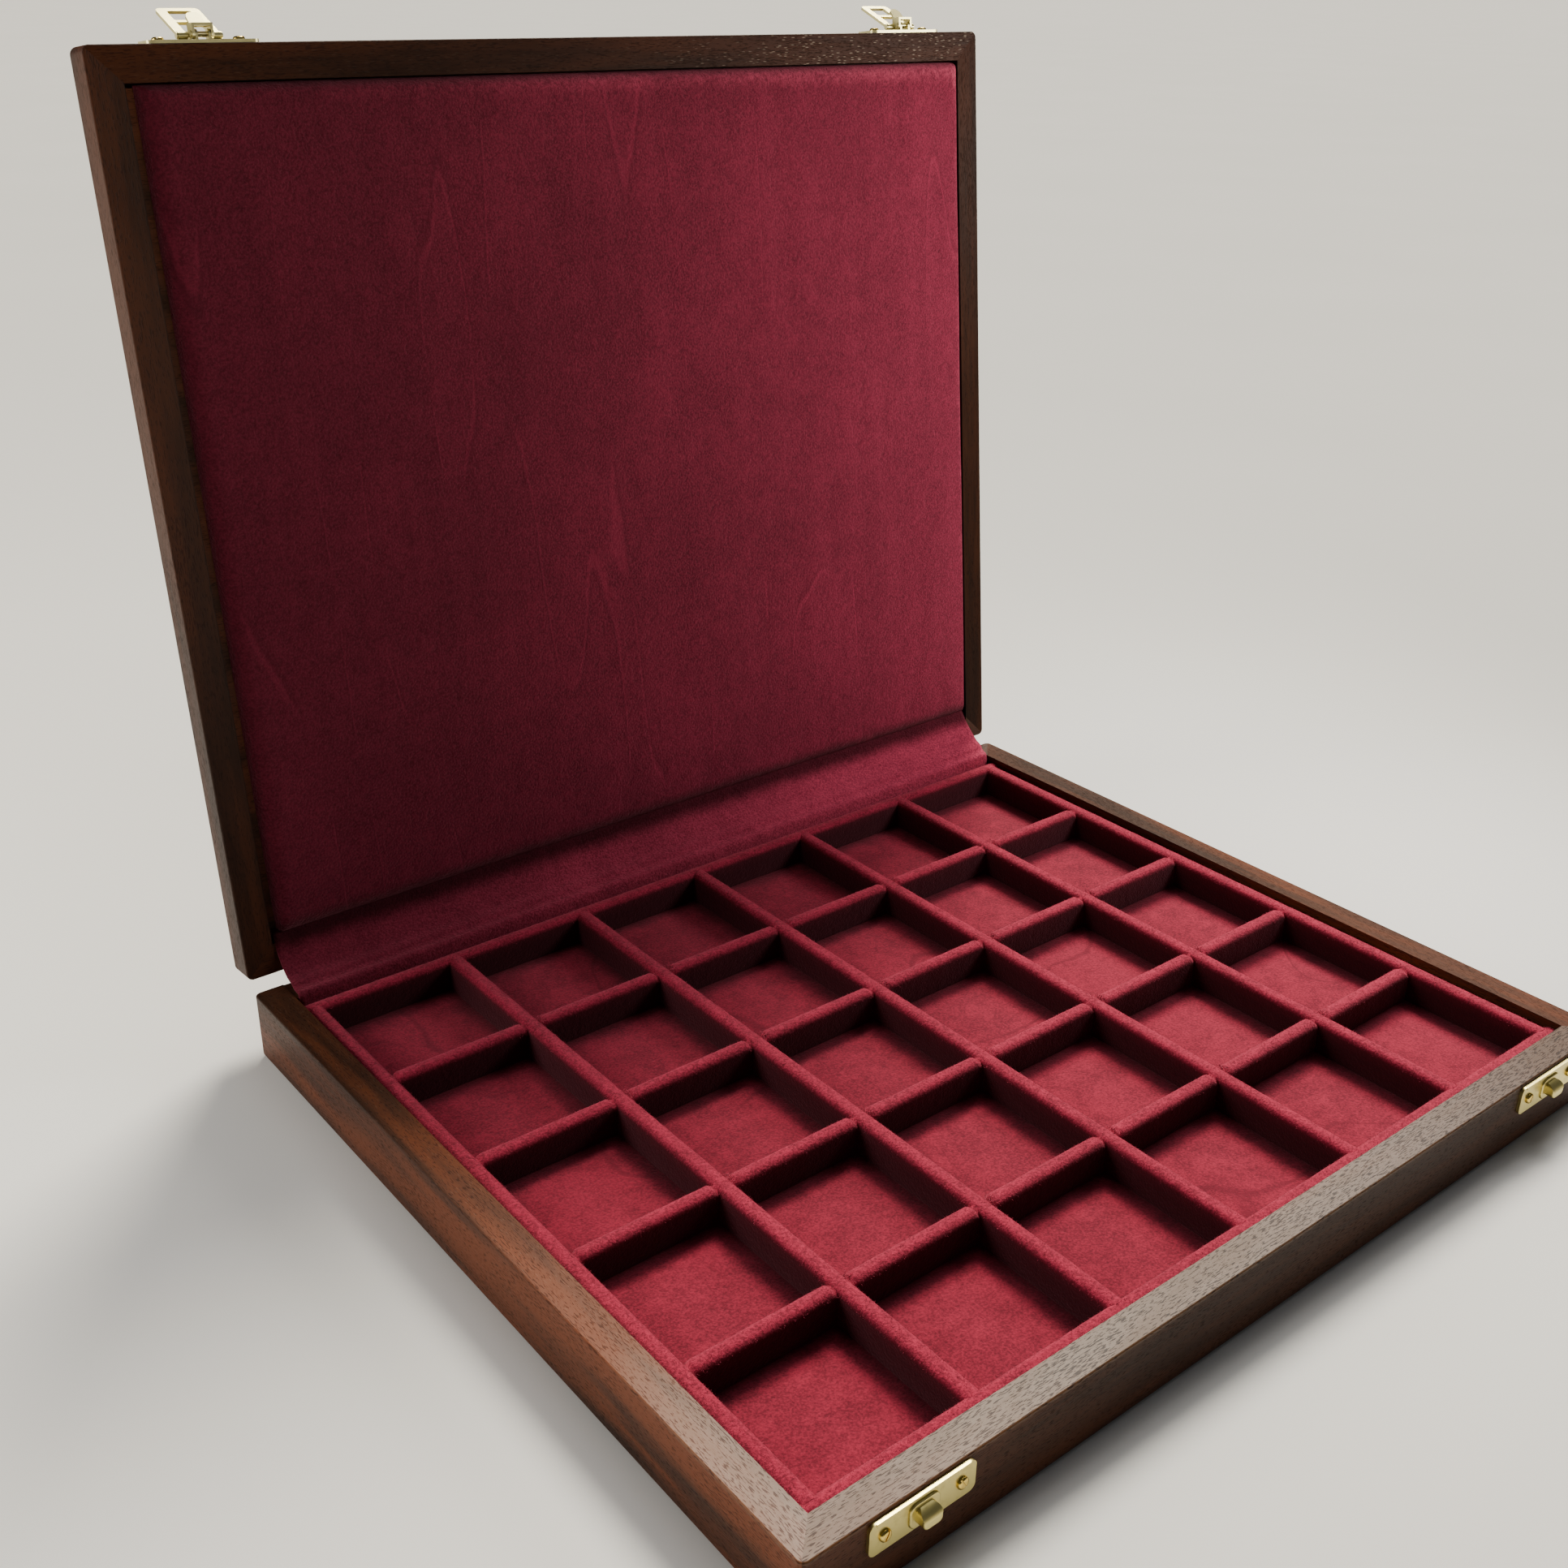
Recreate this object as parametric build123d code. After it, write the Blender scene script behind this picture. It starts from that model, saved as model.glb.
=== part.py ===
from build123d import *

import os
from math import cos, radians, sin

# A hinged wooden coin case that stands open. X runs along the front from left to right,
# Y runs from the front edge to the hinge, and Z is up. The origin is the middle of the
# underside. Sizes are millimetres. The lid is drawn shut and then swung open.

# case
case_width = 370.0
case_depth = 311.0
base_height = 26.0
lid_height = 13.0
rail_width = 11.0
corner_radius = 2.5
edge_radius = 2.0
rim_edge_radius = 0.6
shut_gap = 1.0
open_angle = 96.0

# panels set flush into rebates of the rails
bottom_panel_thickness = 4.0
top_panel_thickness = 4.0
rebate_depth = 5.0

# tray of velvet-covered strips, six columns by five rows
columns = 6
rows = 5
cell_size = 50.2
cell_depth = 12.6
long_divider_width = 6.4
cross_divider_width = 6.0
front_strip_width = 6.0
back_strip_width = 6.0
strip_crown_radius = 2.2
tray_drop = 2.4
floor_velvet_thickness = 1.0

# padded panel inside the lid
pad_board_thickness = 4.0
pad_side_gap = 1.2
pad_hinge_gap = 2.0
pad_stand = 2.4
pad_crown = 0.9
pad_edge_radius = 3.0

# velvet strip that bridges the hinge, and the shallow step in both rims under it
bridge_thickness = 0.8
bridge_side_gap = 1.5
bridge_tuck = 7.0
bridge_sag = 1.8
bridge_lift = 0.5
rim_step = 0.6

# two stop hinges on the back rails
hinge_offset = 115.0
hinge_length = 32.0
hinge_set_back = 2.8
knuckle_radius = 2.0
middle_knuckle_length = 12.0
knuckle_gap = 0.1
leaf_thickness = 1.0
leaf_depth = 9.0
leaf_overhang = 0.5
hinge_pin_radius = 1.0
running_gap = 0.05
stop_reach = 4.6
stop_clearance = 0.3
base_stop_angle = -46.0
lid_stop_angle = 77.0
leaf_screw_pitch = 10.5
leaf_screw_radius = 1.0
leaf_screw_head_radius = 2.0
leaf_screw_length = 7.0

# two draw latches on the front rails
latch_inset = 38.5
plate_width = 36.0
plate_height = 10.6
plate_thickness = 1.0
plate_corner_radius = 2.2
lid_plate_lift = 0.6
keeper_drop = 1.2
keeper_lip_stand = 1.25
keeper_lip_height = 0.7
keeper_groove_height = 0.35
keeper_groove_depth = 0.3
plate_screw_offset = 13.0
plate_screw_radius = 0.9
plate_screw_head_radius = 1.9
plate_screw_head_height = 1.1
plate_screw_length = 8.0
slot_width = 0.5
slot_depth = 0.5
slot_turns = (64.0, 118.0)

# lever of a latch: a channel on two ears of the plate, with a thumb tongue
lever_pin_stand = 2.8
lever_pin_height = 3.0
latch_pin_radius = 0.6
latch_pin_head_radius = 1.0
latch_pin_head = 0.3
latch_pin_play = 0.05
ear_outer = 2.5
ear_thickness = 0.8
ear_radius = 1.3
cheek_inner = 2.6
cheek_outer = 3.4
lever_eye_radius = 1.5
lever_web_stand = 5.0
lever_web = 0.8
lever_top = 5.5
tongue_width = 5.0
tongue_length = 4.9
tongue_tip_radius = 2.2

# bail of a latch: a stamped frame with two windows, hung on the back of the lever
bail_pin_stand = 2.4
bail_pin_height = 5.2
bail_angle = 62.0
bail_inner = 3.9
bail_outer = 7.0
bail_thickness = 1.0
bail_eye_radius = 1.2
bail_bar_start = 8.2
bail_bar_end = 9.6
bail_window_end = 16.0
bail_end = 18.0
bail_corner_radius = 1.8

# hook of a keeper, which the end of the bail pulls up against
hook_width = 6.6
hook_stand = 4.9
hook_top = 21.7
hook_shoulder_stand = 3.5
hook_shoulder_height = 20.9
hook_face_top = 19.0
hook_floor = 17.1
hook_lip_bottom = 16.45
hook_lip_width = 1.2
hook_lip_slope = 0.3
hook_nose_bevel = 0.4
hook_side_radius = 1.7
hook_edge_radius = 0.7
boss_width = 10.4
boss_height = 8.2
boss_stand = 0.7
boss_corner_radius = 2.6
boss_edge_radius = 0.5

# worked out from the sizes above
inner_width = case_width - 2 * rail_width
inner_depth = case_depth - 2 * rail_width
side_strip_width = (inner_width - columns * cell_size - (columns - 1) * long_divider_width) / 2
tuck_gap = (
    inner_depth - rows * cell_size - (rows - 1) * cross_divider_width
    - front_strip_width - back_strip_width
)
tray_top = base_height - tray_drop
floor_top = tray_top - cell_depth
board_top = floor_top - floor_velvet_thickness
strip_height = tray_top - floor_top
tray_front = -inner_depth / 2
tray_back = inner_depth / 2 - tuck_gap
column_pitch = cell_size + long_divider_width
row_pitch = cell_size + cross_divider_width
lid_rim = base_height + shut_gap
lid_top = lid_rim + lid_height
base_step = base_height - rim_step
lid_step = lid_rim + rim_step
back_face = case_depth / 2
hinge_y = back_face + hinge_set_back
hinge_z = base_height + shut_gap / 2
hinge_axis = Axis((0, hinge_y, hinge_z), (-1, 0, 0))
latch_x = case_width / 2 - latch_inset


def block(x_low, x_high, y_low, y_high, z_low, z_high):
    size = (x_high - x_low, y_high - y_low, z_high - z_low)
    return Pos((x_low + x_high) / 2, (y_low + y_high) / 2, (z_low + z_high) / 2) * Box(*size)


def side_slab(half, x_low, x_high, y_low, y_high):
    # a block that spans the same distance to both sides of the XY plane
    return block(x_low, x_high, y_low, y_high, -half, half)


def keep(name, *shapes):
    shape = shapes[0] if len(shapes) == 1 else Compound(list(shapes))
    export_step(shape, f"parts/{name}.step")


def keep_open(name, *shapes):
    # for a piece of the lid, which is drawn shut
    keep(name, *[shape.rotate(hinge_axis, open_angle) for shape in shapes])


# ---- fasteners, each standing on Z 0 with its shank below ----


def leaf_screw():
    head_depth = leaf_screw_head_radius - leaf_screw_radius
    shank = Pos(0, 0, -leaf_screw_length / 2) * Cylinder(leaf_screw_radius, leaf_screw_length)
    head = Pos(0, 0, -head_depth / 2) * Cone(
        leaf_screw_radius, leaf_screw_head_radius, head_depth
    )
    return shank + head


def slotted_leaf_screw():
    return leaf_screw() - Box(3 * leaf_screw_head_radius, slot_width, 2 * slot_depth)


def plate_shank():
    return Pos(0, 0, -plate_screw_length / 2) * Cylinder(plate_screw_radius, plate_screw_length)


def plate_screw():
    head = Pos(0, 0, plate_screw_head_height / 2) * Cylinder(
        plate_screw_head_radius, plate_screw_head_height
    )
    head = fillet(head.edges().sort_by(Axis.Z)[-1], 0.8 * plate_screw_head_height)
    slot = Box(3 * plate_screw_head_radius, slot_width, 2 * slot_depth)
    return plate_shank() + head - Pos(0, 0, plate_screw_head_height) * slot


def turned_screws(places):
    # no two slots come to rest at the same angle
    return [place * Rot(0, 0, turn) * plate_screw() for place, turn in zip(places, slot_turns)]


def leaf_screw_places(x, facing):
    # facing is 1 for the leaf on the base and -1 for the leaf on the lid
    z = base_step if facing > 0 else lid_step
    turn = Rot(0, 0, 0) if facing > 0 else Rot(180, 0, 0)
    y = back_face - leaf_depth / 2
    return [Pos(x + step * leaf_screw_pitch, y, z) * turn for step in (-1, 0, 1)]


def plate_screw_places(side, z, stand):
    front = Rot(90, 0, 0)
    return [
        Pos(side * latch_x + step * plate_screw_offset, -back_face - stand, z) * front
        for step in (-1, 1)
    ]


lid_plate_middle = lid_rim + lid_plate_lift + plate_height / 2
keeper_low = base_height - keeper_drop - plate_height
keeper_middle = keeper_low + plate_height / 2


# ---- wooden frames ----


def wooden_frame(height, z_low, rounded_z, rim_z):
    outer = Pos(0, 0, z_low + height / 2) * Box(case_width, case_depth, height)
    outer = fillet(outer.edges().filter_by(Axis.Z), corner_radius)
    outer = fillet(outer.edges().filter_by_position(Axis.Z, rounded_z, rounded_z), edge_radius)
    outer = fillet(outer.edges().filter_by_position(Axis.Z, rim_z, rim_z), rim_edge_radius)
    return outer - Pos(0, 0, z_low + height / 2) * Box(inner_width, inner_depth, 2 * height)


def panel(thickness, z_low):
    size = (inner_width + 2 * rebate_depth, inner_depth + 2 * rebate_depth, thickness)
    return Pos(0, 0, z_low + thickness / 2) * Box(*size)


def mitred_rails(frame):
    # the frame is cut at its four mitres into front, back, left and right rails
    outside = 5.0
    inside = rail_width + 20.0
    x_out, y_out = case_width / 2 + outside, case_depth / 2 + outside
    x_in, y_in = case_width / 2 - inside, case_depth / 2 - inside
    corners = {
        "front": [(-x_out, -y_out), (x_out, -y_out), (x_in, -y_in), (-x_in, -y_in)],
        "back": [(x_out, y_out), (-x_out, y_out), (-x_in, y_in), (x_in, y_in)],
        "left": [(-x_out, y_out), (-x_out, -y_out), (-x_in, -y_in), (-x_in, y_in)],
        "right": [(x_out, -y_out), (x_out, y_out), (x_in, y_in), (x_in, -y_in)],
    }
    rails = {}
    for side, points in corners.items():
        wedge = Pos(0, 0, -1) * extrude(Polygon(*points, align=None), amount=2 * lid_top)
        rails[side] = frame & wedge
    return rails


# ---- hinges ----


def leaf_plate(x, facing, overhang):
    z_low = base_step - leaf_thickness if facing > 0 else lid_step
    half = hinge_length / 2
    y_high = back_face + overhang
    return block(x - half, x + half, back_face - leaf_depth, y_high, z_low, z_low + leaf_thickness)


def leaf_seat(x, facing):
    # the shallow mortise in a back rail with its three screw holes
    seat = leaf_plate(x, facing, 1.0)
    for place in leaf_screw_places(x, facing):
        seat += place * leaf_screw()
    return seat


def rim_recess(facing):
    z_low = base_step if facing > 0 else lid_rim - 1
    z_high = base_height + 1 if facing > 0 else lid_step
    half = inner_width / 2
    return block(-half, half, inner_depth / 2 - 1, back_face + 1, z_low, z_high)


def barrel(x, low, high, radius):
    return Pos(x + (low + high) / 2, hinge_y, hinge_z) * (
        Rot(0, 90, 0) * Cylinder(radius, high - low)
    )


def stop_fin(x, low, high, angle, start):
    # a radial fin behind the barrel; the two fins meet when the lid stands open
    middle = (start + stop_reach) / 2
    fin = Box(high - low, stop_reach - start, leaf_thickness)
    return Pos(x + (low + high) / 2, hinge_y, hinge_z) * (Rot(angle, 0, 0) * (Pos(0, middle, 0) * fin))


def hinge_leaf(x, facing):
    leaf = leaf_plate(x, facing, leaf_overhang)
    half, middle = hinge_length / 2, middle_knuckle_length / 2
    z_low = base_step - leaf_thickness if facing > 0 else lid_step
    root = knuckle_radius * 0.8
    outer = [(-half, -middle - knuckle_gap), (middle + knuckle_gap, half)]
    for low, high in outer if facing > 0 else [(-middle, middle)]:
        leaf += block(x + low, x + high, back_face, hinge_y, z_low, z_low + leaf_thickness)
        leaf += barrel(x, low, high, knuckle_radius)
        angle = base_stop_angle if facing > 0 else lid_stop_angle
        leaf += stop_fin(x, low, high, angle, root)
    if facing > 0:
        leaf += stop_fin(x, -half, half, base_stop_angle, knuckle_radius + stop_clearance)
    leaf -= barrel(x, -hinge_length, hinge_length, hinge_pin_radius + running_gap)
    for place in leaf_screw_places(x, facing):
        leaf -= place * leaf_screw()
    return leaf


def hinge_pin(x):
    return barrel(x, -hinge_length / 2, hinge_length / 2, hinge_pin_radius)


# ---- latches, drawn with X straight out of the front, Y up and Z along the front ----


def latch_place(side, z):
    plane = Plane(origin=(side * latch_x, -back_face, z), x_dir=(0, -1, 0), z_dir=(-1, 0, 0))
    return plane.location


def screw_plate(low):
    plate = side_slab(plate_width / 2, 0, plate_thickness, low, low + plate_height)
    plate = fillet(plate.edges().filter_by(Axis.X), plate_corner_radius)
    middle = low + plate_height / 2
    for end in (-1, 1):
        hole = Pos(0, middle, end * plate_screw_offset) * (
            Rot(0, 90, 0) * Cylinder(plate_screw_radius, 4 * plate_thickness)
        )
        plate -= hole
    return plate


def rod(stand, height, radius, half):
    return Pos(stand, height, 0) * Cylinder(radius, 2 * half)


def headed_pin(stand, height, half):
    pin = rod(stand, height, latch_pin_radius, half)
    for end in (-1, 1):
        head = Cylinder(latch_pin_head_radius, latch_pin_head)
        pin += Pos(stand, height, end * (half + latch_pin_head / 2)) * head
    return pin


def lever_rod(radius, half):
    return rod(lever_pin_stand, lever_pin_height, radius, half)


def bail_rod(radius, half):
    return rod(bail_pin_stand, bail_pin_height, radius, half)


def lid_plate():
    plate = screw_plate(lid_plate_lift)
    low, high = lever_pin_height - ear_radius, lever_pin_height + ear_radius
    ears = side_slab(ear_outer, plate_thickness / 2, lever_pin_stand, low, high)
    ears += lever_rod(ear_radius, ear_outer)
    between = ear_outer - ear_thickness
    gap = side_slab(between, -1, 2 * lever_web_stand, low - 1, high + 1)
    plate = plate + ears - gap
    return plate - lever_rod(latch_pin_radius, plate_width)


def lever():
    low = lever_pin_height - lever_eye_radius
    front = lever_web_stand + lever_web
    body = side_slab(cheek_outer, lever_pin_stand, front, low, lever_top)
    body += lever_rod(lever_eye_radius, cheek_outer)
    body += bail_rod(bail_eye_radius, cheek_outer)
    back = lever_pin_stand - lever_eye_radius
    body += side_slab(cheek_outer, back, front, lever_pin_height, bail_pin_height)
    body -= side_slab(cheek_inner, -1, lever_web_stand, low - 1, lever_top + 2)
    tongue = side_slab(tongue_width / 2, -lever_web, 0, -lever_web, tongue_length)
    tongue = fillet(tongue.edges().filter_by(Axis.X).sort_by(Axis.Y)[-2:], tongue_tip_radius)
    body += Pos(front, lever_top - lever_web / 2, 0) * (Rot(0, 0, -45) * tongue)
    body -= lever_rod(latch_pin_radius + running_gap, 2 * cheek_outer)
    return body - bail_rod(latch_pin_radius, 2 * cheek_outer)


def bail():
    # drawn hanging straight down from its pin, then turned up to where it rests
    x_low, x_high = -bail_thickness / 2, bail_thickness / 2
    frame = side_slab(bail_outer, x_low, x_high, -bail_end, 0)
    frame = fillet(frame.edges().filter_by(Axis.X).sort_by(Axis.Y)[:2], bail_corner_radius)
    frame += rod(0, 0, bail_eye_radius, bail_outer)
    reach = 2 * bail_thickness
    frame -= side_slab(bail_inner, -reach, reach, -bail_bar_start, reach)
    window = side_slab(bail_inner, -reach, reach, -bail_window_end, -bail_bar_end)
    frame -= fillet(window.edges().filter_by(Axis.X), bail_corner_radius / 3)
    frame -= rod(0, 0, latch_pin_radius + running_gap, 2 * bail_outer)
    return Pos(bail_pin_stand, bail_pin_height, 0) * (Rot(0, 0, 90 + bail_angle) * frame)


def hook():
    # a stubby nub with soft corners; its nose turns down over the end of the bail
    root = plate_thickness / 2
    nose = hook_stand - hook_lip_width
    outline = Polyline(
        (hook_stand, hook_face_top), (hook_stand, hook_lip_bottom + hook_nose_bevel),
        (hook_stand - hook_nose_bevel, hook_lip_bottom), (nose, hook_lip_bottom),
        (nose - hook_lip_slope, hook_floor), (root, hook_floor), (root, hook_top),
    )
    shoulder = (hook_shoulder_stand, hook_shoulder_height)
    ramp = ThreePointArc((root, hook_top), shoulder, (hook_stand, hook_face_top))
    shape = extrude(make_face(outline + ramp), amount=hook_width / 2, both=True)
    soft = side_slab(hook_width / 2, -root, hook_stand, hook_lip_bottom, hook_top)
    soft = fillet(soft.edges().filter_by(Axis.X), hook_side_radius)
    soft = fillet(soft.faces().sort_by(Axis.X)[-1].edges(), hook_edge_radius)
    return shape & soft


def keeper():
    # its Y is the height above the ground
    high = keeper_low + plate_height
    lip_low = high - keeper_lip_height
    lip_half = plate_width / 2 - plate_corner_radius
    plate = screw_plate(keeper_low)
    plate += side_slab(lip_half, 0, keeper_lip_stand, lip_low, high)
    groove_floor = plate_thickness - keeper_groove_depth
    plate -= side_slab(
        lip_half, groove_floor, 2 * plate_thickness, lip_low - keeper_groove_height, lip_low
    )
    middle = (hook_top + hook_lip_bottom) / 2
    low, top = middle - boss_height / 2, middle + boss_height / 2
    boss = side_slab(boss_width / 2, 0, plate_thickness + boss_stand, low, top)
    boss = fillet(boss.edges().filter_by(Axis.X), boss_corner_radius)
    boss = fillet(boss.faces().sort_by(Axis.X)[-1].edges(), boss_edge_radius)
    return plate + boss + hook()


# ---- tray ----


def crowned_bar(width, length):
    # a velvet-covered strip along Y that stands on Z 0 and has a round top
    bar = Pos(0, 0, strip_height / 2) * Box(width, length, strip_height)
    top = bar.faces().sort_by(Axis.Z)[-1]
    return fillet(top.edges().filter_by(Axis.Y), strip_crown_radius)


def divider_x(column):
    return (column - (columns - 2) / 2) * column_pitch


def divider_y(row):
    return tray_front + front_strip_width + row_pitch * (row + 1) - cross_divider_width / 2


def long_divider(column):
    # runs from the front strip to the back strip; halved from below at each crossing
    low, high = tray_front + front_strip_width, tray_back - back_strip_width
    bar = Pos(divider_x(column), (low + high) / 2, floor_top) * crowned_bar(
        long_divider_width, high - low
    )
    notch = Pos(0, 0, strip_height / 4) * Box(
        2 * long_divider_width, cross_divider_width, strip_height / 2
    )
    for row in range(rows - 1):
        bar -= Pos(divider_x(column), divider_y(row), floor_top) * notch
    return bar


def cross_divider(row):
    # runs between the side strips; halved from above at each crossing
    bar = Pos(0, divider_y(row), floor_top) * (
        Rot(0, 0, 90) * crowned_bar(cross_divider_width, inner_width - 2 * side_strip_width)
    )
    notch = Pos(0, 0, strip_height) * Box(
        long_divider_width, 2 * cross_divider_width, strip_height
    )
    for column in range(columns - 1):
        bar -= Pos(divider_x(column), divider_y(row), floor_top) * notch
    return bar


def front_or_back_strip(width, y):
    return Pos(0, y, floor_top) * (Rot(0, 0, 90) * crowned_bar(width, inner_width))


def side_strip(side):
    low, high = tray_front + front_strip_width, tray_back - back_strip_width
    x = side * (inner_width - side_strip_width) / 2
    return Pos(x, (low + high) / 2, floor_top) * crowned_bar(side_strip_width, high - low)


# ---- lining of the lid ----


def crowned_profile(half, depth):
    # flat back, straight sides, rounded shoulders and a low crown
    shoulder = depth - pad_edge_radius
    bend = pad_edge_radius * (1 - 0.5 ** 0.5)
    flat = half - pad_edge_radius
    outline = Polyline((-half, shoulder), (-half, 0), (half, 0), (half, shoulder))
    outline += ThreePointArc((half, shoulder), (half - bend, depth - bend), (flat, depth))
    outline += ThreePointArc((flat, depth), (0, depth + pad_crown), (-flat, depth))
    outline += ThreePointArc((-flat, depth), (-half + bend, depth - bend), (-half, shoulder))
    return make_face(outline)


pad_back = lid_top - top_panel_thickness - pad_board_thickness
pad_low = -inner_depth / 2 + pad_side_gap
pad_high = inner_depth / 2 - pad_hinge_gap
pad_half = inner_width / 2 - pad_side_gap


def lid_pad():
    # two crowned profiles, one across each way, meet in a pad with a crown and soft edges
    depth = pad_back - (lid_rim - pad_stand) - pad_crown
    long_way = extrude(crowned_profile((pad_high - pad_low) / 2, depth), amount=pad_half, both=True)
    short_way = extrude(crowned_profile(pad_half, depth), amount=(pad_high - pad_low) / 2, both=True)
    pad = (Rot(0, 90, 0) * long_way) & short_way
    return Pos(0, (pad_low + pad_high) / 2, pad_back) * (Rot(-90, 0, 0) * pad)


def lid_pad_board():
    return block(-pad_half, pad_half, pad_low, pad_high, pad_back, pad_back + pad_board_thickness)


def opened(y, z):
    # where a point of the shut lid lies when the lid stands open, as (y, z)
    turn = radians(open_angle)
    back, up = y - hinge_y, z - hinge_z
    return (
        hinge_y + back * cos(turn) + up * sin(turn),
        hinge_z - back * sin(turn) + up * cos(turn),
    )


def hinge_bridge():
    # tucked in beside the pad, slung across the hinge, tucked in again behind the tray
    wall = inner_depth / 2 - tuck_gap / 2
    upper_end = Vector(*opened(wall, lid_rim + bridge_tuck))
    upper_edge = Vector(*opened(wall, lid_rim - bridge_lift))
    lower_edge = Vector(wall, base_height + bridge_lift)
    lower_end = Vector(wall, base_height - bridge_tuck)
    across = (lower_edge - upper_edge).normalized()
    middle = (upper_edge + lower_edge) / 2 + Vector(-across.Y, across.X) * bridge_sag
    path = Line(upper_end, upper_edge) + ThreePointArc(upper_edge, middle, lower_edge)
    path += Line(lower_edge, lower_end)
    profile = trace(path, bridge_thickness)
    for corner in (upper_edge, lower_edge):
        profile += Pos(corner) * Circle(bridge_thickness / 2)
    half = inner_width / 2 - bridge_side_gap
    return extrude(Plane.YZ * profile, amount=half, both=True)


# ---- the case, piece by piece ----

os.makedirs("parts", exist_ok=True)

base_frame = wooden_frame(base_height, 0, 0, base_height) - panel(bottom_panel_thickness, 0)
lid_frame = wooden_frame(lid_height, lid_rim, lid_top, lid_rim)
lid_frame -= panel(top_panel_thickness, lid_top - top_panel_thickness)
base_frame -= rim_recess(1)
lid_frame -= rim_recess(-1)
for side in (-1, 1):
    base_frame -= leaf_seat(side * hinge_offset, 1)
    lid_frame -= leaf_seat(side * hinge_offset, -1)
    for place in plate_screw_places(side, keeper_middle, 0):
        base_frame -= place * plate_shank()
    for place in plate_screw_places(side, lid_plate_middle, 0):
        lid_frame -= place * plate_shank()

for side, rail in mitred_rails(base_frame).items():
    keep(f"base_{side}_rail", rail)
for side, rail in mitred_rails(lid_frame).items():
    keep_open(f"lid_{side}_rail", rail)
keep("base_bottom_panel", panel(bottom_panel_thickness, 0))
keep_open("lid_top_panel", panel(top_panel_thickness, lid_top - top_panel_thickness))

floor_box = (-inner_width / 2, inner_width / 2, tray_front, inner_depth / 2)
keep("tray_board", block(*floor_box, bottom_panel_thickness, board_top))
keep("tray_floor_velvet", block(*floor_box, board_top, floor_top))
for column in range(columns - 1):
    keep(f"tray_long_divider_{column + 1}", long_divider(column))
for row in range(rows - 1):
    keep(f"tray_cross_divider_{row + 1}", cross_divider(row))
keep("tray_front_strip", front_or_back_strip(front_strip_width, tray_front + front_strip_width / 2))
keep("tray_back_strip", front_or_back_strip(back_strip_width, tray_back - back_strip_width / 2))
keep("tray_left_strip", side_strip(-1))
keep("tray_right_strip", side_strip(1))

keep_open("lid_pad_board", lid_pad_board())
keep_open("lid_pad", lid_pad())
keep("hinge_bridge", hinge_bridge())

for side, hand in ((-1, "left"), (1, "right")):
    x = side * hinge_offset
    keep(f"{hand}_hinge_base_leaf", hinge_leaf(x, 1))
    keep_open(f"{hand}_hinge_lid_leaf", hinge_leaf(x, -1))
    keep(f"{hand}_hinge_pin", hinge_pin(x))
    base_screws = [place * slotted_leaf_screw() for place in leaf_screw_places(x, 1)]
    lid_screws = [place * slotted_leaf_screw() for place in leaf_screw_places(x, -1)]
    keep(f"{hand}_hinge_base_screws", *base_screws)
    keep_open(f"{hand}_hinge_lid_screws", *lid_screws)

    on_lid = latch_place(side, lid_rim)
    keep_open(f"{hand}_latch_plate", on_lid * lid_plate())
    lever_pin = headed_pin(lever_pin_stand, lever_pin_height, cheek_outer + latch_pin_play)
    bail_pin = headed_pin(bail_pin_stand, bail_pin_height, bail_outer + latch_pin_play)
    keep_open(f"{hand}_latch_lever_pin", on_lid * lever_pin)
    keep_open(f"{hand}_latch_lever", on_lid * lever())
    keep_open(f"{hand}_latch_bail_pin", on_lid * bail_pin)
    keep_open(f"{hand}_latch_bail", on_lid * bail())
    lid_places = plate_screw_places(side, lid_plate_middle, plate_thickness)
    keep_open(f"{hand}_latch_screws", *turned_screws(lid_places))

    keep(f"{hand}_keeper", latch_place(side, 0) * keeper())
    base_places = plate_screw_places(side, keeper_middle, plate_thickness)
    keep(f"{hand}_keeper_screws", *turned_screws(base_places))
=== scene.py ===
import bpy
import bmesh
import math
from mathutils import Matrix, Vector, noise


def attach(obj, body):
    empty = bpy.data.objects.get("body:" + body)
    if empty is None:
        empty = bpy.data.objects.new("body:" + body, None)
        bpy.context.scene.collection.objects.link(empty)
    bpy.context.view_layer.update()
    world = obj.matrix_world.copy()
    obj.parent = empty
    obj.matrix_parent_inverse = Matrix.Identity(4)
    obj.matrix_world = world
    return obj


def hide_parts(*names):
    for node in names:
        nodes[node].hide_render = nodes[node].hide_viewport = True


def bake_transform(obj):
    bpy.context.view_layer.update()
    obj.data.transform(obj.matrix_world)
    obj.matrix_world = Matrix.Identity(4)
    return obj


# A coin case standing open: dark open-pored wood, burgundy velvet, pale brass.
# X runs along the front, Y from the front to the hinge, Z up, all in metres.

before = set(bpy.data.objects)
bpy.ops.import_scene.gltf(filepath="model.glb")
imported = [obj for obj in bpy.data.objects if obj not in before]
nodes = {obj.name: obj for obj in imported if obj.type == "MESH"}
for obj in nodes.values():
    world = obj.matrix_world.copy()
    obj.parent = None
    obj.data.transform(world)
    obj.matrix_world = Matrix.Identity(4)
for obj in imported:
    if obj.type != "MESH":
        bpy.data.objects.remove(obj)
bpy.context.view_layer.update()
print("frame loaded,", len(nodes), "pieces")

caseSize = {
    "width": 0.370,
    "depth": 0.311,
    "rim": 0.026,
    "rail": 0.011,
    "shutGap": 0.001,
    "hingeSetBack": 0.0028,
    "openAngle": 96,
    "columns": 6,
    "rows": 5,
    "cell": 0.0502,
    "longDivider": 0.0064,
    "crossDivider": 0.006,
    "edgeStrip": 0.006,
    "trayTop": 0.0236,
    "trayFloor": 0.011,
}

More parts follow.
